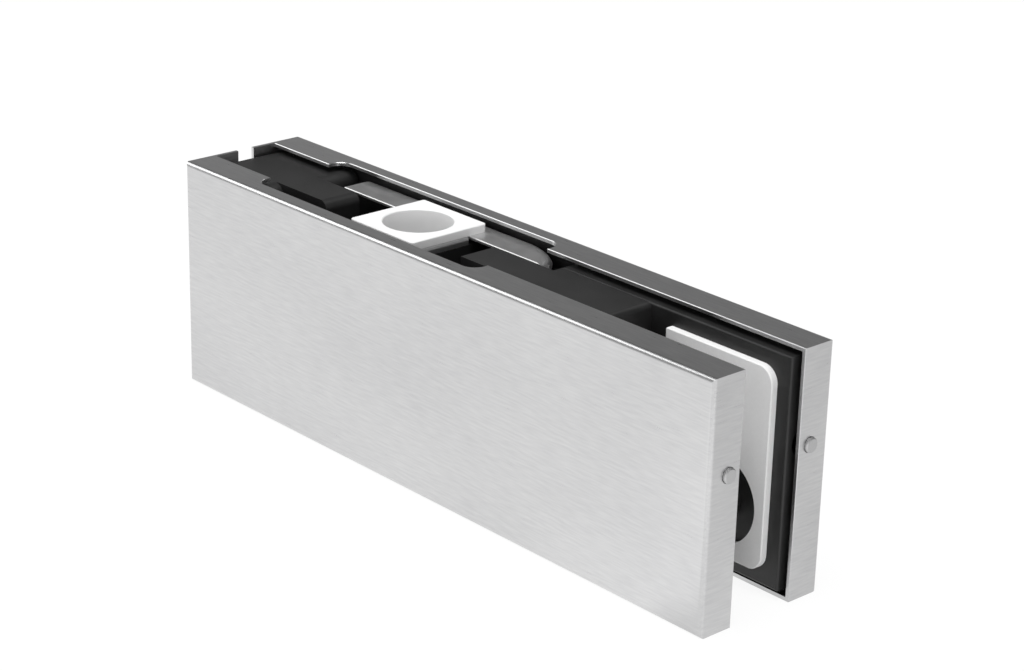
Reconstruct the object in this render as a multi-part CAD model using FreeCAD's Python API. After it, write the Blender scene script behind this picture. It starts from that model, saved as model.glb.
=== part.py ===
"""Top patch fitting of a frameless glass pivot door.

Two folded stainless covers hide a black cast clamp. The clamp holds the glass at its right end
and carries a square plastic bush, in which the pivot pin of the door frame turns.

Frame, in millimetres: the origin is on the pivot axis, at the underside of the bush's square
plate. +X points along the fitting to the glass, +Y to the back cover and +Z up, out of the bore.
"""
import FreeCAD, Part
import math
import os

Vector = FreeCAD.Vector

# Covers, folded from one sheet each
cover_length = 162.0
cover_height = 52.0
cover_depth = 32.0              # front face to back face
cover_sheet = 0.8
cover_bend_radius = 1.0         # outside of the bend
flange_width = 8.0              # top, bottom and right end
left_return = 13.9              # left end
cutout_start = 20.7             # from the left end, in the top flange
cutout_end = 92.0
cutout_flange = 4.0             # what is left of the flange there
cutout_radius = 3.0
cover_edge_break = 0.12

# Pivot
pivot_from_left_end = 61.0
seat_below_cover = 2.5          # underside of the bush's plate, below the covers' top
bush_side = 20.2
bush_plate_thickness = 1.8
bush_corner_radius = 0.7
bush_edge_break = 0.15
bush_bore = 15.0
bush_wall = 1.5
bush_barrel_length = 15.0
bush_mouth_chamfer = 0.2
bush_fit = 0.02                 # radial, barrel in block

# Clamp bodies
body_end_clearance = 1.0        # inside the covers' end flanges
body_top_clearance = 1.2        # inside the covers' top and bottom flanges
body_face_clearance = 0.2       # inside the covers' faces
glass_thickness = 10.0
gasket_thickness = 1.5
slot_depth = 38.4               # from the right end to where the glass stops
block_edge_radius = 1.2
pad_edge_radius = 0.4
pocket_depth = 18.0             # below the bodies' top
pocket_wall = 2.5               # front and back walls of the pocket
pocket_lip = 0.65               # what stands up behind the pressed plate, to the bodies' top
pocket_lip_groove = 0.6         # between the left shoulder and this lip
pocket_groove_left = 14.0       # from the left end
pocket_left = 21.5              # from the left end, in front of the tongue
pocket_back_left = 24.1         # the same behind the tongue
pocket_right = 98.25
pocket_open_from = 85.0         # from here to its right end the pocket's back wall is only the lip
shoulder_radius = 3.0
tongue_front = 10.9             # from the front cover's face
tongue_back = 20.0
left_tongue_end = 36.5          # from the left end
right_tongue_start = 80.5
tongue_nose_radius = 2.0

# Pressed plate under the bush
plate_sheet = 0.6
plate_skirt = 1.7               # height of its turned-down edges
plate_roll_radius = 3.2         # outside of the rolled edge
plate_bend_radius = 0.8         # outside, at the tab
plate_front = 21.35             # straight front edge, from the front cover's face
plate_back = 30.2               # outside of the rolled edge
plate_left = 29.6               # from the left end
plate_round_centre = 81.5       # centre of the round right end, from the left end
plate_hole_clearance = 0.15
plate_relief = 0.5
plate_edge_break = 0.15
tab_width = 21.0                # square part under the bush's plate

# Block in the pocket
bush_block_clearance = 0.2
bush_block_island_clearance = 0.3

# Gaskets
gasket_from_right_end = 5.0
gasket_length = 28.0
gasket_margin = 5.0             # to the covers' top and bottom
gasket_hole = 18.4
gasket_outer_radius = 3.5       # towards the glass end
gasket_inner_radius = 0.5
gasket_edge_break = 0.2

# Clamp screws, M6
glass_screw_from_right_end = 16.6
glass_screw_height = 16.85      # above the covers' bottom
body_screw_height = 26.0
screw_dowel_distance = 1.0      # from the left screw's recess to the dowel
screw_diameter = 6.0
screw_tip_inset = 0.7           # from the back body's outer face, which makes the screw 25 long
screw_head_diameter = 10.0
screw_head_height = 4.0
screw_socket_flats = 5.0
screw_socket_depth = 2.5
screw_hole = 6.6
head_recess = 12.5
head_recess_clearance = 0.3
washer_diameter = 11.8
washer_hole = 6.4
washer_thickness = 1.0
nut_flats = 10.0
nut_height = 5.0
nut_recess = 5.4
nut_flats_clearance = 0.2
thread_clearance = 0.03         # radial, where a thread is drawn as a plain shaft
sleeve_diameter = 8.6
sleeve_bore = 6.4
sleeve_end_clearance = 0.4      # at the front body, so that the clamp can close on the glass

# Set screws of the block, M4
block_screw_spacing = 14.0
block_screw_depth = 9.5         # below the seat
block_screw_diameter = 4.0
block_screw_socket_flats = 2.0
block_screw_socket_depth = 2.0
block_screw_tip_clearance = 0.3  # to the bush's barrel

# Sprung pins at the right end and fixed pins at the left end
pin_from_face = 5.0             # from each cover's outer face
pin_height = 32.0               # above the covers' bottom
cover_pin_hole = 3.3
pin_diameter = 3.1
pin_stand_out = 0.7
pin_chamfer = 0.25
pin_running_clearance = 0.04
pin_collar_diameter = 4.6
pin_collar_length = 1.5
plunger_diameter = 6.0
plunger_length = 14.0
plunger_set_back = 1.0          # in the body's end
plunger_lip = 1.5
plunger_bore = 4.8
plunger_floor = 1.0
plunger_fit = 0.02
spring_diameter = 4.4           # outside
spring_wire = 0.5
spring_turns = 5
spring_steps = 10               # straight runs to a turn
spring_sides = 5
dowel_diameter = 2.5
dowel_length = 6.5
dowel_hole = 2.7
dowel_fit = 0.02
dowel_set_back = 0.1            # from the cover's outer face

# Places that follow from the sizes above
left_x = -pivot_from_left_end
right_x = left_x + cover_length
top_z = seat_below_cover
bottom_z = top_z - cover_height
back_y = cover_depth / 2
front_y = -back_y
body_left_x = left_x + cover_sheet + body_end_clearance
body_right_x = right_x - cover_sheet - body_end_clearance
body_top_z = top_z - cover_sheet - body_top_clearance
body_bottom_z = bottom_z + cover_sheet + body_top_clearance
body_back_y = back_y - cover_sheet - body_face_clearance
pad_y = glass_thickness / 2 + gasket_thickness
pocket_floor_z = body_top_z - pocket_depth
pocket_wall_y = body_back_y - pocket_wall
block_end_x = right_x - slot_depth
pocket_right_x = left_x + pocket_right
pin_y = back_y - pin_from_face
pin_z = bottom_z + pin_height
nut_seat_y = body_back_y - nut_recess
barrel_radius = bush_bore / 2 + bush_wall
block_screw_tip_y = barrel_radius + bush_fit + block_screw_tip_clearance
plate_roll_turn = math.acos(1 - plate_skirt / plate_roll_radius)
plate_roll_depth = plate_roll_radius - (plate_roll_radius - plate_sheet) * math.cos(plate_roll_turn)
head_seat_y = -body_back_y + screw_head_height + washer_thickness + head_recess_clearance
dowel_end_x = left_x + dowel_set_back + dowel_length
plunger_end_x = body_right_x - plunger_set_back
plunger_start_x = plunger_end_x - plunger_length
body_screw_z = bottom_z + body_screw_height
screw_places = [
    (dowel_end_x + screw_dowel_distance + head_recess / 2, body_screw_z),
    ((pocket_right_x + block_end_x) / 2, body_screw_z),
    (right_x - glass_screw_from_right_end, bottom_z + glass_screw_height),
]
block_screw_places = [(side * block_screw_spacing / 2, -block_screw_depth) for side in (-1, 1)]
beyond = 1.0                    # how far a cutting tool runs past what it cuts


def from_left(distance):
    return left_x + distance


def from_front(distance):
    return front_y + distance


def box(low, high):
    size = [b - a for a, b in zip(low, high)]
    return Part.makeBox(*size, Vector(*low))


def rod(radius, start, direction, length):
    return Part.makeCylinder(radius, length, Vector(*start), Vector(*direction))


def hexagon(flats, start_y, length, x, z):
    """A hexagonal prism along +Y."""
    corner = flats / math.sqrt(3)
    turns = [math.radians(60 * k) for k in range(7)]
    points = [Vector(x + corner * math.cos(a), start_y, z + corner * math.sin(a)) for a in turns]
    return Part.Face(Part.makePolygon(points)).extrude(Vector(0, length, 0))


def edges_along(shape, axis, **at):
    """Straight edges parallel to an axis that lie at the given coordinates."""
    found = []
    for edge in shape.Edges:
        if not isinstance(edge.Curve, Part.Line):
            continue
        if abs(getattr(edge.tangentAt(edge.FirstParameter), axis)) < 0.999:
            continue
        middle = edge.CenterOfMass
        if all(abs(getattr(middle, key) - value) < 1e-4 for key, value in at.items()):
            found.append(edge)
    return found


def fused(first, *others):
    return first.multiFuse(list(others)).removeSplitter()


def mirrored(shape):
    """The same shape for the other side of the glass."""
    return shape.mirror(Vector(0, 0, 0), Vector(0, 1, 0))


def front_cover():
    outer = box((left_x, front_y, bottom_z), (right_x, front_y + left_return, top_z))
    rim = [e for e in outer.Edges if abs(e.CenterOfMass.y - front_y) < 1e-4]
    outer = outer.makeFillet(cover_bend_radius, rim)
    low = (left_x + cover_sheet, front_y + cover_sheet, bottom_z + cover_sheet)
    high = (right_x - cover_sheet, front_y + left_return + beyond, top_z - cover_sheet)
    inner = box(low, high)
    rim = [e for e in inner.Edges if abs(e.CenterOfMass.y - low[1]) < 1e-4]
    inner = inner.makeFillet(cover_bend_radius - cover_sheet, rim)
    cover = outer.cut(inner)
    trim_low = (left_x + cover_sheet, front_y + flange_width, bottom_z - beyond)
    trim_high = (right_x + beyond, front_y + left_return + beyond, top_z + beyond)
    cover = cover.cut(box(trim_low, trim_high))
    return cover.cut(cover_cutout()).cut(cover_holes())


def cover_cutout():
    start = from_left(cutout_start)
    end = from_left(cutout_end)
    inner_y = front_y + cutout_flange
    low = (start, inner_y, top_z - cover_sheet - beyond)
    tool = box(low, (end, front_y + flange_width + beyond, top_z + beyond))
    corners = edges_along(tool, "z", y=inner_y)
    return tool.makeFillet(cutout_radius, corners)


def cover_holes():
    reach = cover_sheet + 2 * beyond
    pin = rod(cover_pin_hole / 2, (right_x - cover_sheet - beyond, -pin_y, pin_z), (1, 0, 0), reach)
    dowel = rod(dowel_hole / 2, (left_x - beyond, -pin_y, pin_z), (1, 0, 0), reach)
    return pin.fuse(dowel)


def with_edges_broken(cover):
    """Breaks the cut edges of the top flange and of the right end flange."""
    wanted = edges_along(cover, "x", y=front_y + flange_width, z=top_z)
    wanted += edges_along(cover, "x", y=front_y + cutout_flange, z=top_z)
    wanted += edges_along(cover, "z", x=right_x, y=front_y + flange_width)
    return cover.makeChamfer(cover_edge_break, wanted)


def end_bores():
    """Bores for a plunger at the right end and a dowel at the left end, on the back side."""
    plunger = rod(plunger_diameter / 2 + plunger_fit, (plunger_start_x, pin_y, pin_z),
                  (1, 0, 0), body_right_x - plunger_start_x + beyond)
    dowel = rod(dowel_diameter / 2 + dowel_fit, (body_left_x - beyond, pin_y, pin_z),
                (1, 0, 0), dowel_end_x - body_left_x + beyond)
    return plunger.fuse(dowel)


def screw_holes():
    tools = []
    for x, z in screw_places:
        tools.append(rod(screw_hole / 2, (x, front_y, z), (0, 1, 0), cover_depth))
    return tools


def front_body():
    low = (body_left_x, -body_back_y, body_bottom_z)
    plate = box(low, (body_right_x, -pad_y, body_top_z))
    notch = box((from_left(pocket_left), -pocket_wall_y, pocket_floor_z),
                (pocket_right_x, -pad_y + beyond, body_top_z + beyond))
    body = plate.cut(notch)
    shoulder = edges_along(body, "y", x=from_left(pocket_left), z=body_top_z)
    body = body.makeFillet(shoulder_radius, shoulder)
    pad_edges = edges_along(body, "x", y=-pad_y, z=body_bottom_z)
    pad_edges += edges_along(body, "z", x=body_right_x, y=-pad_y)
    body = body.makeFillet(pad_edge_radius, pad_edges)
    tools = screw_holes()
    for x, z in screw_places:
        tools.append(rod(head_recess / 2, (x, front_y, z), (0, 1, 0), head_seat_y - front_y))
    return body.cut(Part.makeCompound(tools)).cut(mirrored(end_bores()))


def left_block():
    """Left shoulders and tongue, above the pocket's floor."""
    low_z = pocket_floor_z
    front = box((body_left_x, -pad_y, low_z), (from_left(pocket_left), from_front(tongue_front), body_top_z))
    edge = edges_along(front, "y", x=from_left(pocket_left), z=body_top_z)
    front = front.makeFillet(shoulder_radius, edge)
    nose_x = from_left(left_tongue_end)
    tongue = box((body_left_x, from_front(tongue_front), low_z), (nose_x, from_front(tongue_back), body_top_z))
    tongue = tongue.makeFillet(tongue_nose_radius, edges_along(tongue, "y", x=nose_x, z=body_top_z))
    back_x = from_left(pocket_back_left)
    back = box((body_left_x, from_front(tongue_back), low_z), (back_x, body_back_y, body_top_z))
    back = back.makeFillet(shoulder_radius, edges_along(back, "y", x=back_x, z=body_top_z))
    return fused(front, tongue, back)


def right_block():
    """Right tongue and the block that the glass stops against."""
    start = pocket_right_x
    low = (start, -pad_y, body_bottom_z)
    block = box(low, (block_end_x, pad_y, body_top_z))
    block = block.makeFillet(block_edge_radius, edges_along(block, "y", x=block_end_x, z=body_top_z))
    tongue = box((from_left(right_tongue_start), from_front(tongue_front), pocket_floor_z),
                 (start, from_front(tongue_back), body_top_z))
    return fused(block, tongue)


def glass_plate():
    """The part of the back body that the glass is clamped against."""
    plate = box((pocket_right_x, pad_y, body_bottom_z), (body_right_x, body_back_y, body_top_z))
    edges = edges_along(plate, "x", y=pad_y)
    edges += edges_along(plate, "z", x=body_right_x, y=pad_y)
    return plate.makeFillet(pad_edge_radius, edges)


def back_body():
    base = box((body_left_x, -pad_y, body_bottom_z), (pocket_right_x, body_back_y, pocket_floor_z))
    wall = box((from_left(pocket_back_left), pocket_wall_y, pocket_floor_z),
               (from_left(pocket_open_from), body_back_y, -plate_roll_depth))
    lip_y = body_back_y - pocket_lip
    lip = box((from_left(pocket_groove_left), lip_y, pocket_floor_z), (pocket_right_x, body_back_y, body_top_z))
    body = fused(base, wall, lip, left_block(), right_block(), glass_plate())
    groove = box((from_left(pocket_groove_left), lip_y - pocket_lip_groove, -plate_roll_depth),
                 (from_left(pocket_back_left) + beyond, lip_y, body_top_z + beyond))
    tools = screw_holes()
    tools.append(groove)
    for x, z in screw_places:
        tools.append(hexagon(nut_flats + nut_flats_clearance, nut_seat_y, nut_recess + beyond, x, z))
    for x, z in block_screw_places:
        tools.append(rod(block_screw_diameter / 2 + thread_clearance, (x, pocket_wall_y - beyond, z), (0, 1, 0),
                         pocket_wall + 2 * beyond))
    return body.cut(Part.makeCompound(tools)).cut(end_bores())


def bush_block():
    half = tab_width / 2
    half_y = pocket_wall_y - bush_block_clearance
    base = box((-half, -half_y, pocket_floor_z), (half, half_y, -plate_skirt))
    inset = half - plate_sheet - bush_block_island_clearance
    island_back = from_front(plate_back) - plate_roll_radius - bush_block_island_clearance
    island = box((-inset, -half, -plate_skirt), (inset, island_back, -plate_sheet))
    tools = [rod(barrel_radius + bush_fit, (0, 0, pocket_floor_z - beyond), (0, 0, 1), pocket_depth + 2 * beyond)]
    for x, z in block_screw_places:
        tools.append(rod(block_screw_diameter / 2 + thread_clearance, (x, block_screw_tip_y, z), (0, 1, 0), back_y))
    return fused(base, island).cut(Part.makeCompound(tools))


def pivot_bush():
    half = bush_side / 2
    plate = box((-half, -half, 0), (half, half, bush_plate_thickness))
    plate = plate.makeFillet(bush_corner_radius, edges_along(plate, "z"))
    rim = [e for e in plate.Edges if abs(e.CenterOfMass.z - bush_plate_thickness) < 1e-4]
    plate = plate.makeChamfer(bush_edge_break, rim)
    bush = fused(plate, rod(barrel_radius, (0, 0, -bush_barrel_length), (0, 0, 1), bush_barrel_length))
    length = bush_barrel_length + bush_plate_thickness
    bore = rod(bush_bore / 2, (0, 0, -bush_barrel_length), (0, 0, 1), length)
    mouth_z = bush_plate_thickness - bush_mouth_chamfer
    mouth = Part.makeCone(bush_bore / 2, bush_bore / 2 + bush_mouth_chamfer, bush_mouth_chamfer, Vector(0, 0, mouth_z))
    return bush.cut(bore).cut(mouth)


def rolled_section(inner, outer):
    """Section of the pressed plate in a plane across its edge, from inner to outer reach along Y."""
    radius = plate_roll_radius
    turn = plate_roll_turn
    run = radius * math.sin(turn)
    centre_y = outer - run
    thin = radius - plate_sheet

    def on_arc(r, angle):
        return Vector(0, centre_y + r * math.sin(angle), -radius + r * math.cos(angle))

    top = [Vector(0, inner, 0), on_arc(radius, 0)]
    low = [on_arc(thin, 0), Vector(0, inner, -plate_sheet)]
    edges = [
        Part.LineSegment(*top).toShape(),
        Part.Arc(on_arc(radius, 0), on_arc(radius, turn / 2), on_arc(radius, turn)).toShape(),
        Part.LineSegment(on_arc(radius, turn), on_arc(thin, turn)).toShape(),
        Part.Arc(on_arc(thin, turn), on_arc(thin, turn / 2), on_arc(thin, 0)).toShape(),
        Part.LineSegment(*low).toShape(),
        Part.LineSegment(low[1], top[0]).toShape(),
    ]
    return Part.Face(Part.Wire(edges))


def broken_edge(y):
    """A cutter that breaks the upper edge of the pressed plate at its front side."""
    low = -plate_edge_break
    corners = [(y, 0), (y + plate_edge_break, 0), (y, low), (y, 0)]
    points = [Vector(left_x, a, b) for a, b in corners]
    return Part.Face(Part.makePolygon(points)).extrude(Vector(cover_length, 0, 0))


def plate_strip():
    """Long part of the pressed plate, with its rolled back edge and round right end."""
    outer = from_front(plate_back)
    front = from_front(plate_front)
    start_x = from_left(plate_left)
    centre_x = from_left(plate_round_centre)
    straight = rolled_section(front, outer)
    straight.translate(Vector(start_x, 0, 0))
    straight = straight.extrude(Vector(centre_x - start_x, 0, 0))
    disc = rolled_section(0, outer).revolve(Vector(0, 0, 0), Vector(0, 0, 1), -90)
    disc.translate(Vector(centre_x, 0, 0))
    keep = box((centre_x, front, -plate_roll_radius), (centre_x + outer, outer + beyond, beyond))
    return fused(straight, disc.common(keep)).cut(broken_edge(front))


def plate_tab():
    """The part under the bush's square plate, with its sides bent down."""
    half = tab_width / 2
    front = from_front(plate_front)
    outer = box((-half, -half, -plate_skirt), (half, front - plate_relief, 0))
    outer = outer.makeFillet(plate_bend_radius, edges_along(outer, "y", z=0))
    inset = half - plate_sheet
    inner = box((-inset, -half - beyond, -plate_skirt - beyond), (inset, front, -plate_sheet))
    inner = inner.makeFillet(plate_bend_radius - plate_sheet, edges_along(inner, "y", z=-plate_sheet))
    bridge = box((-inset, front - plate_relief - beyond, -plate_sheet), (inset, front + beyond, 0))
    return fused(outer.cut(inner).cut(broken_edge(-half)), bridge)


def bush_plate():
    hole = rod(barrel_radius + plate_hole_clearance, (0, 0, -plate_skirt - beyond), (0, 0, 1),
               plate_skirt + 2 * beyond)
    return fused(plate_strip(), plate_tab()).cut(hole)


def back_gasket():
    end = right_x - gasket_from_right_end
    start = end - gasket_length
    face_y = pad_y - gasket_thickness
    sheet = box((start, face_y, bottom_z + gasket_margin), (end, pad_y, top_z - gasket_margin))
    sheet = sheet.makeFillet(gasket_outer_radius, edges_along(sheet, "y", x=end))
    sheet = sheet.makeFillet(gasket_inner_radius, edges_along(sheet, "y", x=start))
    rim = [e for e in sheet.Edges if abs(e.CenterOfMass.y - face_y) < 1e-4]
    sheet = sheet.makeChamfer(gasket_edge_break, rim)
    x, z = screw_places[-1]
    return sheet.cut(rod(gasket_hole / 2, (x, 0, z), (0, 1, 0), back_y))


def clamp_screw(x, z):
    head_y = head_seat_y - washer_thickness
    head = rod(screw_head_diameter / 2, (x, head_y - screw_head_height, z), (0, 1, 0), screw_head_height)
    socket = hexagon(screw_socket_flats, head_y - screw_head_height - beyond, screw_socket_depth + beyond, x, z)
    shank = rod(screw_diameter / 2, (x, head_y, z), (0, 1, 0), body_back_y - screw_tip_inset - head_y)
    return fused(head, shank).cut(socket)


def clamp_washer(x, z):
    start = (x, head_seat_y - washer_thickness, z)
    ring = rod(washer_diameter / 2, start, (0, 1, 0), washer_thickness)
    return ring.cut(rod(washer_hole / 2, start, (0, 1, 0), washer_thickness))


def clamp_nut(x, z):
    nut = hexagon(nut_flats, nut_seat_y, nut_height, x, z)
    return nut.cut(rod(screw_diameter / 2 + thread_clearance, (x, nut_seat_y, z), (0, 1, 0), nut_height))


def screw_sleeve():
    x, z = screw_places[-1]
    start = (x, -pad_y + sleeve_end_clearance, z)
    length = 2 * pad_y - sleeve_end_clearance
    return rod(sleeve_diameter / 2, start, (0, 1, 0), length).cut(rod(sleeve_bore / 2, start, (0, 1, 0), length))


def block_screw(x, z):
    length = body_back_y - block_screw_tip_y
    shank = rod(block_screw_diameter / 2, (x, block_screw_tip_y, z), (0, 1, 0), length)
    socket = hexagon(block_screw_socket_flats, body_back_y - block_screw_socket_depth,
                     block_screw_socket_depth + beyond, x, z)
    return shank.cut(socket)


def plunger_sleeve():
    """Smooth sleeve of the sprung pin at the back cover's right end."""
    floor_x = plunger_start_x + plunger_floor
    sleeve = rod(plunger_diameter / 2, (plunger_start_x, pin_y, pin_z), (1, 0, 0), plunger_length)
    inside = rod(plunger_bore / 2, (floor_x, pin_y, pin_z), (1, 0, 0), plunger_end_x - plunger_lip - floor_x)
    mouth = rod(pin_diameter / 2 + pin_running_clearance, (floor_x, pin_y, pin_z), (1, 0, 0), plunger_length)
    return sleeve.cut(inside).cut(mouth)


def plunger_pin():
    lip_x = plunger_end_x - plunger_lip
    tip_x = right_x + pin_stand_out
    shaft = rod(pin_diameter / 2, (lip_x, pin_y, pin_z), (1, 0, 0), tip_x - lip_x)
    rim = [e for e in shaft.Edges if abs(e.CenterOfMass.x - tip_x) < 1e-4]
    shaft = shaft.makeChamfer(pin_chamfer, rim)
    collar = rod(pin_collar_diameter / 2, (lip_x - pin_collar_length, pin_y, pin_z), (1, 0, 0), pin_collar_length)
    return fused(shaft, collar)


def plunger_spring():
    """Coil with ground ends, drawn in straight runs."""
    start_x = plunger_start_x + plunger_floor
    end_x = plunger_end_x - plunger_lip - pin_collar_length
    radius = (spring_diameter - spring_wire) / 2
    runs = spring_turns * spring_steps
    points = []
    for k in range(runs + 1):
        angle = 2 * math.pi * k / spring_steps
        along = start_x + (end_x - start_x) * k / runs
        points.append(Vector(along, pin_y + radius * math.cos(angle), pin_z + radius * math.sin(angle)))
    first_run = points[1] - points[0]
    first_run.normalize()
    across = first_run.cross(Vector(1, 0, 0)).normalize()
    up = first_run.cross(across)
    ring = []
    for k in range(spring_sides + 1):
        angle = 2 * math.pi * k / spring_sides
        ring.append(points[0] + (across * math.cos(angle) + up * math.sin(angle)) * (spring_wire / 2))
    coil = Part.makePolygon(points).makePipeShell([Part.makePolygon(ring)], True, False, 1)
    half = spring_diameter
    ground = box((start_x, pin_y - half, pin_z - half), (end_x, pin_y + half, pin_z + half))
    return coil.common(ground)


def cover_dowels():
    start_x = left_x + dowel_set_back
    return [rod(dowel_diameter / 2, (start_x, side * pin_y, pin_z), (1, 0, 0), dowel_length) for side in (-1, 1)]


def nodes():
    cover = with_edges_broken(front_cover())
    gasket = back_gasket()
    parts = {
        "front_cover": cover,
        "back_cover": mirrored(cover),
        "front_body": front_body(),
        "back_body": back_body(),
        "bush_block": bush_block(),
        "pivot_bush": pivot_bush(),
        "bush_plate": bush_plate(),
        "front_gasket": mirrored(gasket),
        "back_gasket": gasket,
        "clamp_screws": [clamp_screw(x, z) for x, z in screw_places],
        "clamp_washers": [clamp_washer(x, z) for x, z in screw_places],
        "clamp_nuts": [clamp_nut(x, z) for x, z in screw_places],
        "block_screws": [block_screw(x, z) for x, z in block_screw_places],
        "screw_sleeve": screw_sleeve(),
        "cover_dowels": cover_dowels(),
    }
    plunger = {"plunger_sleeve": plunger_sleeve(), "plunger_pin": plunger_pin(), "plunger_spring": plunger_spring()}
    for name, shape in plunger.items():
        parts["back_" + name] = shape
        parts["front_" + name] = mirrored(shape)
    return parts


def main():
    os.makedirs("parts", exist_ok=True)
    for name, shape in nodes().items():
        if isinstance(shape, list):
            shape = Part.makeCompound(shape)
        if not shape.isValid():
            raise ValueError(name + " is not a valid solid")
        print(name, len(shape.Solids), "solid,", round(shape.Volume, 2), "mm3")
        shape.exportStep(os.path.join("parts", name + ".step"))


main()
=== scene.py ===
"""Top patch fitting of a glass pivot door: finishes, studio and camera."""

import math

import bmesh
import bpy
from mathutils import Matrix, Vector


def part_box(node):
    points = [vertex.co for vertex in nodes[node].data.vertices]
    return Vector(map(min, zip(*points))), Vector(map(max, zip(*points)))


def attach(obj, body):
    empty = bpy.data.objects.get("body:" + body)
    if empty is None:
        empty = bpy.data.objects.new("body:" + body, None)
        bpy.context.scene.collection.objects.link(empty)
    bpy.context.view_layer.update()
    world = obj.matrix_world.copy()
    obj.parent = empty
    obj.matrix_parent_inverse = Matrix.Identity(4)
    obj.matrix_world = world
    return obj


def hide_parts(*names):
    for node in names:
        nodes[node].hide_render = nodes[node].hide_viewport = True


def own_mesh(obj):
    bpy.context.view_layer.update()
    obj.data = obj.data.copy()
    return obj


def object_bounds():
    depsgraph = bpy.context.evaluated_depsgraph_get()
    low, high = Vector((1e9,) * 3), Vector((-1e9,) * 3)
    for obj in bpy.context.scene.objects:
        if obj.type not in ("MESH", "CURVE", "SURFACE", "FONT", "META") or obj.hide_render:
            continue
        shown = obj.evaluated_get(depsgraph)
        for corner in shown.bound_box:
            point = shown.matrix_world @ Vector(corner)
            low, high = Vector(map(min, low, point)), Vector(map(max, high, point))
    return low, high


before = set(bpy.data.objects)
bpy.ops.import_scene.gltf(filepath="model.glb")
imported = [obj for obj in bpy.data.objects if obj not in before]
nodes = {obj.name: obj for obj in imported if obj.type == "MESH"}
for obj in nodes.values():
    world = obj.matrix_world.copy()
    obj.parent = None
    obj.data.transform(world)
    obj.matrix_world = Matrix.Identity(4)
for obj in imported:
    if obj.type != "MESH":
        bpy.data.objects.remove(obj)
cad_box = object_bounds()

MM = 0.001
COVER_SHEET = 0.8 * MM

# Camera, fitted to the corners of the covers in the photograph. Its sensor and lens are in millimetres
CAMERA_PLACE = (386.959 * MM, -326.504 * MM, 173.953 * MM)
CAMERA_AZIMUTH = math.radians(-42.4368)
CAMERA_ELEVATION = math.radians(21.3052)
CAMERA_ROLL = math.radians(1.4733)
SENSOR_WIDTH = 36.0
FOCAL_LENGTH = 90.06

# The values that most of a noise pattern lies between, and all of it
MOST_NOISE = (0.3, 0.7)
ALL_NOISE = (0.0, 1.0)

# Turned steel's darkest and palest tone, and the width of its turning marks. The real ones are about
# 0.05 mm, too fine to show, so they are drawn coarser
TURNED_TONES = ("C0C0C1", "D2D2D2")
TURNING_MARK = 0.25 * MM

# How strongly the world lights the object, where 1 is white
WORLD_FILL = 0.4

# The studio's hood, in metres, and how bright it is at some heights above the table, in degrees
HOOD_RADIUS = 3.0
HOOD_LEVELS = [(0, 0.7), (10, 0.42), (17, 0.24), (22, 0.13), (35, 0.09), (90, 0.08)]

# Each lamp's name, place, width and height in metres, and power in watts, and where all of them aim
LAMPS = [
    ("top_softbox", (0.1, -0.1, 0.9), (0.6, 0.5), 6.4),
    ("left_softbox", (-0.85, -0.3, 0.72), (0.6, 0.6), 2.7),
    ("front_softbox", (0.1, -1.2, 0.47), (1.6, 0.9), 3.6),
    ("right_softbox", (1.1, -0.25, 0.1), (0.5, 0.3), 1.3),
    ("back_softbox", (-0.06, 0.866, 0.685), (0.25, 0.25), 0.5),
]
LAMP_AIM = (0.02, 0, -0.02)


def linear(code):
    """An sRGB hex colour as linear RGBA."""
    out = []
    for start in (0, 2, 4):
        value = int(code[start:start + 2], 16) / 255
        out.append(value / 12.92 if value <= 0.04045 else ((value + 0.055) / 1.055) ** 2.4)
    return (*out, 1.0)


def add(tree, kind, values=None, links=None, **settings):
    """Adds a node. values sets sockets by name or number, links joins them to other nodes' outputs."""
    node = tree.nodes.new(kind)
    for name, value in settings.items():
        setattr(node, name, value)
    for key, value in (values or {}).items():
        node.inputs[key].default_value = value
    for key, output in (links or {}).items():
        tree.links.new(output, node.inputs[key])
    return node


def empty_tree(owner):
    """The node tree of a new material or world, with nothing in it yet."""
    owner.use_nodes = True
    owner.node_tree.nodes.clear()
    return owner.node_tree


def new_object(name, data):
    """A new object in the scene that shows this mesh, lamp or camera."""
    thing = bpy.data.objects.new(name, data)
    bpy.context.scene.collection.objects.link(thing)
    return thing


def new_material(name, values):
    """A material with one Principled shader. values are its constants, on the shader's own sockets."""
    material = bpy.data.materials.new(name)
    tree = empty_tree(material)
    shader = add(tree, "ShaderNodeBsdfPrincipled", values)
    add(tree, "ShaderNodeOutputMaterial", links={"Surface": shader.outputs["BSDF"]})
    return material, tree, shader


def grains(tree, size, detail=2.0, roughness=0.5, squeeze=(1, 1, 1)):
    """Noise whose grains are about size metres across, and longer along an axis where squeeze is less."""
    place = add(tree, "ShaderNodeTexCoord")
    scaled = add(tree, "ShaderNodeMapping", {"Scale": squeeze}, {"Vector": place.outputs["Object"]})
    noise = add(tree, "ShaderNodeTexNoise", {"Scale": 1 / size, "Detail": detail, "Roughness": roughness},
                {"Vector": scaled.outputs["Vector"]})
    return noise.outputs["Fac"]


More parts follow.
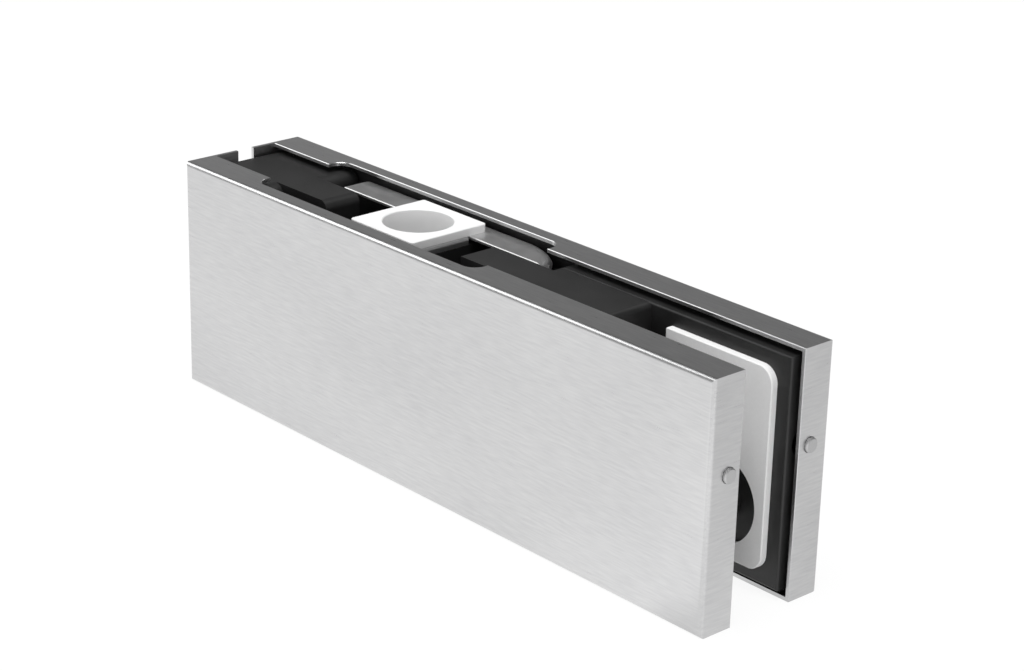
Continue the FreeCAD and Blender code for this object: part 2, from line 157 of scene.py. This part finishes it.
def lay_finish(tree, shader, colour, span=MOST_NOISE, roughness=None, relief=None):
    """Lets patterns show on a surface. colour is a pattern and its darkest and palest colour, which it
    reaches at the two values of span. roughness is a pattern and the least and most roughness. relief is
    a pattern, its strength and its height in metres. Returns the colour, for what is laid over it."""
    pattern, dark, pale = colour
    ramp = add(tree, "ShaderNodeValToRGB", links={"Fac": pattern})
    for stop, place, code in zip(ramp.color_ramp.elements, span, (dark, pale)):
        stop.position = place
        stop.color = linear(code)
    tree.links.new(ramp.outputs["Color"], shader.inputs["Base Color"])
    if roughness:
        pattern, least, most = roughness
        level = add(tree, "ShaderNodeMapRange", {"To Min": least, "To Max": most}, {"Value": pattern})
        tree.links.new(level.outputs["Result"], shader.inputs["Roughness"])
        shader.inputs["Roughness"].default_value = (least + most) / 2
    if relief:
        pattern, strength, height = relief
        bump = add(tree, "ShaderNodeBump", {"Strength": strength, "Distance": height}, {"Height": pattern})
        tree.links.new(bump.outputs["Normal"], shader.inputs["Normal"])
    return ramp.outputs["Color"]


def brushed_stainless():
    """Stainless sheet 304, brushed along its length before it was folded. The belt leaves short fine
    lines, so the face has faint light and dark streaks, and broad patches where it pressed harder. A
    lamp's light spreads across the lines, by a quarter turn of the highlight. The end flanges were
    brushed across, so their lines run from front to back."""
    material, tree, shader = new_material(
        "brushed_stainless_304", {"Metallic": 1.0, "Anisotropic": 0.5, "Anisotropic Rotation": 0.25})
    line_width = 0.5 * MM       # the real lines are about 0.05 mm, too fine to show, so drawn coarser
    width_to_length = 0.09
    patch_size = 24 * MM
    patch_share = 0.3
    end_slope = 0.7             # a face whose normal has more of X than this is an end flange
    lean = 0.02                 # keeps the direction of the lines off a face's own normal
    lines_along_x = grains(tree, line_width, detail=2.5, roughness=0.55, squeeze=(width_to_length, 1, 1))
    lines_along_y = grains(tree, line_width, detail=2.5, roughness=0.55, squeeze=(1, width_to_length, 1))
    face = add(tree, "ShaderNodeNewGeometry")
    normal = add(tree, "ShaderNodeSeparateXYZ", links={"Vector": face.outputs["Normal"]})
    sideways = add(tree, "ShaderNodeMath", links={0: normal.outputs["X"]}, operation="ABSOLUTE")
    at_end = add(tree, "ShaderNodeMath", {1: end_slope}, {0: sideways.outputs[0]}, operation="GREATER_THAN")
    lines = add(tree, "ShaderNodeMix",
                links={"Factor": at_end.outputs[0], "A": lines_along_x, "B": lines_along_y})
    streaks = lines.outputs["Result"]
    patches = grains(tree, patch_size, detail=1.0, squeeze=(0.5, 1, 1))
    tone = add(tree, "ShaderNodeMix", {"Factor": patch_share}, {"A": streaks, "B": patches})
    lay_finish(tree, shader, colour=(tone.outputs["Result"], "C8C8C9", "D9D9D9"),
               roughness=(streaks, 0.24, 0.36), relief=(streaks, 0.1, 0.02 * MM))
    direction = add(tree, "ShaderNodeMix", {"A": (1, lean, 0), "B": (lean, 1, 0)},
                    {"Factor": at_end.outputs[0]}, data_type="VECTOR")
    tree.links.new(direction.outputs["Result"], shader.inputs["Tangent"])
    return material


def black_cast_coat():
    """Aluminium casting with a black epoxy coat. The coat is satin and takes a faint orange peel
    from the powder, and it is a little paler where it lies thick."""
    material, tree, shader = new_material("black_epoxy_coat", {"IOR": 1.5})
    peel = grains(tree, 0.9 * MM)
    thickness = grains(tree, 9 * MM, detail=3.0, roughness=0.6)
    lay_finish(tree, shader, colour=(thickness, "1D1D1D", "262626"),
               roughness=(thickness, 0.38, 0.52), relief=(peel, 0.25, 0.03 * MM))
    return material


def white_acetal():
    """Moulded acetal: a dense white plastic with a soft sheen, a little light passing through it."""
    material, tree, shader = new_material("white_acetal", {
        "Roughness": 0.42, "IOR": 1.48,
        "Subsurface Weight": 0.15, "Subsurface Scale": 1.2 * MM, "Subsurface Radius": (1, 1, 1)})
    flow = grains(tree, 6 * MM)
    skin = grains(tree, 0.5 * MM, detail=1.0)
    lay_finish(tree, shader, colour=(flow, "ECECEC", "F4F4F4"), span=ALL_NOISE,
               relief=(skin, 0.06, 0.02 * MM))
    return material


def clamping_gasket():
    """Fibre-filled white gasket sheet: matt and dry, so its face shades softly into the slot."""
    material, tree, shader = new_material("white_gasket_sheet", {"Roughness": 0.6, "IOR": 1.46})
    fibres = grains(tree, 0.6 * MM, detail=3.0, roughness=0.7)
    lay_finish(tree, shader, colour=(fibres, "F1F1F1", "F5F5F5"), relief=(fibres, 0.1, 0.03 * MM))
    return material


def bare_pressed_steel():
    """Bare cold-rolled steel sheet, pressed to shape, which leaves it satin and slightly cloudy."""
    material, tree, shader = new_material("pressed_steel", {"Metallic": 0.93})
    cloud = grains(tree, 5 * MM, detail=3.0, roughness=0.6)
    lay_finish(tree, shader, colour=(cloud, "CCCCCC", "DADADA"), roughness=(cloud, 0.31, 0.43))
    return material


def turned_steel():
    """Machined and hardened steel: a clean bright grey with fine turning marks."""
    material, tree, shader = new_material("turned_steel", {"Metallic": 1.0})
    marks = grains(tree, TURNING_MARK)
    lay_finish(tree, shader, colour=(marks, *TURNED_TONES), span=ALL_NOISE,
               roughness=(marks, 0.22, 0.36))
    return material


def steel_shaded_inside(tip_start):
    """Turned steel, dull, painted dark as shade where it lies inside the body and behind the cover's end
    flange. Only the pins' tips, beyond tip_start along X, show the bright steel."""
    material, tree, shader = new_material("steel_painted_shade_bright_tip", {"Metallic": 1.0})
    marks = grains(tree, TURNING_MARK)
    bare_colour = lay_finish(tree, shader, colour=(marks, *TURNED_TONES), span=ALL_NOISE,
                        roughness=(marks, 0.46, 0.6))
    place = add(tree, "ShaderNodeTexCoord")
    along = add(tree, "ShaderNodeSeparateXYZ", links={"Vector": place.outputs["Object"]})
    at_tip = add(tree, "ShaderNodeMath", {1: tip_start}, {0: along.outputs["X"]}, operation="GREATER_THAN")
    # 2A2A2B is painted shade: the dark that falls on the steel inside the body and the cover
    colour = add(tree, "ShaderNodeMix", {"A": linear("2A2A2B")}, {"Factor": at_tip.outputs[0], "B": bare_colour},
                 data_type="RGBA")
    tree.links.new(colour.outputs["Result"], shader.inputs["Base Color"])
    return material


def black_nylon():
    """Moulded nylon of the screw's sleeve: matt black with a fine skin."""
    material, tree, shader = new_material("black_nylon", {"Roughness": 0.55, "IOR": 1.53})
    skin = grains(tree, 0.4 * MM)
    lay_finish(tree, shader, colour=(skin, "1B1B1B", "242424"), span=ALL_NOISE,
               relief=(skin, 0.15, 0.02 * MM))
    return material


def dress(material, *names):
    """Gives the material to these pieces."""
    for name in names:
        mesh = nodes[name].data
        mesh.materials.clear()
        mesh.materials.append(material)


def dress_fitting():
    """Gives each piece the finish of the real one; the plunger pins and sleeves are painted dark as shade
    inside the body.
    """
    dress(brushed_stainless(), "front_cover", "back_cover")
    dress(black_cast_coat(), "front_body", "back_body", "bush_block")
    dress(white_acetal(), "pivot_bush")
    dress(clamping_gasket(), "front_gasket", "back_gasket")
    dress(bare_pressed_steel(), "bush_plate")
    dress(turned_steel(), "clamp_screws", "clamp_washers", "clamp_nuts", "block_screws",
          "cover_dowels", "front_plunger_spring", "back_plunger_spring")
    cover_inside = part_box("front_cover")[1][0] - COVER_SHEET
    dress(steel_shaded_inside(tip_start=cover_inside), "front_plunger_sleeve", "back_plunger_sleeve",
          "front_plunger_pin", "back_plunger_pin")
    dress(black_nylon(), "screw_sleeve")


def shortening_springs():
    """Each plunger spring is shown by a copy of its own mesh, attached to the fitting, and the imported one
    is hidden.
    """
    for side in ("front", "back"):
        node = nodes[f"{side}_plunger_spring"]
        spring = new_object(f"{side}_plunger_spring_coil", node.data.copy())
        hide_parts(node.name)
        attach(spring, "fitting")
        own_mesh(spring)


def seen_as_background(tree):
    """1 for camera, mirror and glass rays, 0 for the rays that light the object."""
    path = add(tree, "ShaderNodeLightPath")
    seen = path.outputs["Is Camera Ray"]
    for kind in ("Is Glossy Ray", "Is Transmission Ray"):
        either = add(tree, "ShaderNodeMath", links={0: seen, 1: path.outputs[kind]}, operation="MAXIMUM")
        seen = either.outputs[0]
    return seen


def white_world():
    """White where it is seen, and a soft fill light for the object."""
    world = bpy.data.worlds.new("studio")
    bpy.context.scene.world = world
    tree = empty_tree(world)
    seen = add(tree, "ShaderNodeBackground", {"Color": linear("FFFFFF"), "Strength": 1.0})
    fill = add(tree, "ShaderNodeBackground", {"Color": linear("FFFFFF"), "Strength": WORLD_FILL})
    mix = add(tree, "ShaderNodeMixShader",
              links={"Fac": seen_as_background(tree), 1: fill.outputs[0], 2: seen.outputs[0]})
    add(tree, "ShaderNodeOutputWorld", links={"Surface": mix.outputs[0]})


def table_level(tree):
    """How brightly the floor glows. In mirrors it is dimmer to the right of the object, and has a pool
    of light in front of the right corner, which draws the covers' bent edges."""
    plain_level = 1.02          # a little over white, because the floor also has a share of matt paint
    dimming = -0.27             # what mirrors see less of, from dim_start to dim_full along X
    dim_start = 84 * MM
    dim_full = 94 * MM
    pool_gain = 0.5             # what mirrors see more of, in the middle of the pool
    pool_place = (0.15, -0.08, 0)
    pool_size = (0.12, 0.12, 1)
    place = add(tree, "ShaderNodeTexCoord")
    across = add(tree, "ShaderNodeSeparateXYZ", links={"Vector": place.outputs["Object"]})
    dim = add(tree, "ShaderNodeMapRange",
              {"From Min": dim_start, "From Max": dim_full, "To Min": 0.0, "To Max": dimming},
              {"Value": across.outputs["X"]})
    pool = add(tree, "ShaderNodeMapping", {"Location": pool_place, "Scale": pool_size},
               {"Vector": place.outputs["Object"]}, vector_type="TEXTURE")
    shade = add(tree, "ShaderNodeTexGradient", links={"Vector": pool.outputs["Vector"]},
                gradient_type="SPHERICAL")
    change = add(tree, "ShaderNodeMath", {1: pool_gain},
                 {0: shade.outputs["Fac"], 2: dim.outputs["Result"]}, operation="MULTIPLY_ADD")
    path = add(tree, "ShaderNodeLightPath")
    level = add(tree, "ShaderNodeMath", {2: plain_level},
                {0: change.outputs[0], 1: path.outputs["Is Glossy Ray"]}, operation="MULTIPLY_ADD")
    return level.outputs[0]


def pale_floor(height):
    """A white floor that keeps only a soft shadow round the object, and meets the white world unseen."""
    reach = 6.0
    near = 0.3                  # within this distance of the pivot axis the shadow shows
    far = 1.2                   # beyond this the floor only glows, so that its edge can't be seen
    glow_near = 0.9
    glow_far = 1.0
    mesh = bpy.data.meshes.new("floor")
    corners = [(x * reach, y * reach, height) for x, y in ((-1, -1), (1, -1), (1, 1), (-1, 1))]
    mesh.from_pydata(corners, [], [(0, 1, 2, 3)])
    new_object("floor", mesh)
    material = bpy.data.materials.new("white_floor")
    tree = empty_tree(material)
    matt = add(tree, "ShaderNodeBsdfDiffuse", {"Color": linear("F4F4F4")})
    glow = add(tree, "ShaderNodeEmission", {"Color": linear("FFFFFF")}, {"Strength": table_level(tree)})
    place = add(tree, "ShaderNodeTexCoord")
    distance = add(tree, "ShaderNodeVectorMath", links={0: place.outputs["Object"]}, operation="LENGTH")
    glowing = add(tree, "ShaderNodeMapRange",
                  {"From Min": near, "From Max": far, "To Min": glow_near, "To Max": glow_far},
                  {"Value": distance.outputs["Value"]})
    share = add(tree, "ShaderNodeMath", links={0: seen_as_background(tree), 1: glowing.outputs["Result"]},
                operation="MULTIPLY")
    mix = add(tree, "ShaderNodeMixShader",
              links={"Fac": share.outputs[0], 1: matt.outputs[0], 2: glow.outputs[0]})
    add(tree, "ShaderNodeOutputMaterial", links={"Surface": mix.outputs[0]})
    mesh.materials.append(material)


def studio_hood():
    """A cloth hood over the table that only mirrors see: pale at the table, dark overhead. It draws the
    dark tops and the soft bends of the metal, as a photographer's black cards do."""
    mesh = bpy.data.meshes.new("studio_hood")
    form = bmesh.new()
    bmesh.ops.create_uvsphere(form, u_segments=48, v_segments=24, radius=HOOD_RADIUS)
    form.to_mesh(mesh)
    form.free()
    hood = new_object("studio_hood", mesh)
    for ray in ("camera", "diffuse", "shadow", "transmission", "volume_scatter"):
        setattr(hood, f"visible_{ray}", False)
    material = bpy.data.materials.new("studio_hood")
    tree = empty_tree(material)
    place = add(tree, "ShaderNodeTexCoord")
    height = add(tree, "ShaderNodeSeparateXYZ", links={"Vector": place.outputs["Object"]})
    share = add(tree, "ShaderNodeMath", {1: 1 / HOOD_RADIUS}, {0: height.outputs["Z"]},
                operation="MULTIPLY")
    ramp = add(tree, "ShaderNodeValToRGB", links={"Fac": share.outputs[0]})
    stops = ramp.color_ramp.elements
    middle = 0.5                # where a new stop begins, before it is put in its place
    while len(stops) < len(HOOD_LEVELS):
        stops.new(middle)
    for stop, (degrees, level) in zip(stops, HOOD_LEVELS):
        stop.position = math.sin(math.radians(degrees))
        stop.color = (level, level, level, 1)
    glow = add(tree, "ShaderNodeEmission", {"Strength": 1.0}, {"Color": ramp.outputs["Color"]})
    add(tree, "ShaderNodeOutputMaterial", links={"Surface": glow.outputs[0]})
    mesh.materials.append(material)


def soft_lamp(name, place, size, power):
    """A softbox that aims at the fitting."""
    lamp = bpy.data.lights.new(name, "AREA")
    lamp.shape = "RECTANGLE"
    lamp.size, lamp.size_y = size
    lamp.energy = power
    holder = new_object(name, lamp)
    holder.location = place
    holder.rotation_euler = (Vector(LAMP_AIM) - Vector(place)).to_track_quat("-Z", "Y").to_euler()


def studio():
    """The white world and floor, the hood and the lamps."""
    white_world()
    pale_floor(cad_box[0][2])
    studio_hood()
    for lamp in LAMPS:
        soft_lamp(*lamp)


def photo_camera():
    """Stands where the photograph was taken from. Its azimuth and elevation give the direction from what
    it looks at back to it, and it is rolled a little."""
    data = bpy.data.cameras.new("photo_camera")
    data.sensor_fit = "HORIZONTAL"
    data.sensor_width = SENSOR_WIDTH
    data.lens = FOCAL_LENGTH
    data.clip_start = 10 * MM
    data.clip_end = 20
    camera = new_object("photo_camera", data)
    quarter = math.pi / 2
    turn = Matrix.Rotation(CAMERA_AZIMUTH + quarter, 4, "Z")
    tilt = Matrix.Rotation(quarter - CAMERA_ELEVATION, 4, "X")
    roll = Matrix.Rotation(CAMERA_ROLL, 4, "Z")
    camera.matrix_world = Matrix.Translation(CAMERA_PLACE) @ turn @ tilt @ roll
    bpy.context.scene.camera = camera


photo_camera()
dress_fitting()
shortening_springs()
studio()
bpy.context.scene.view_settings.view_transform = "Standard"
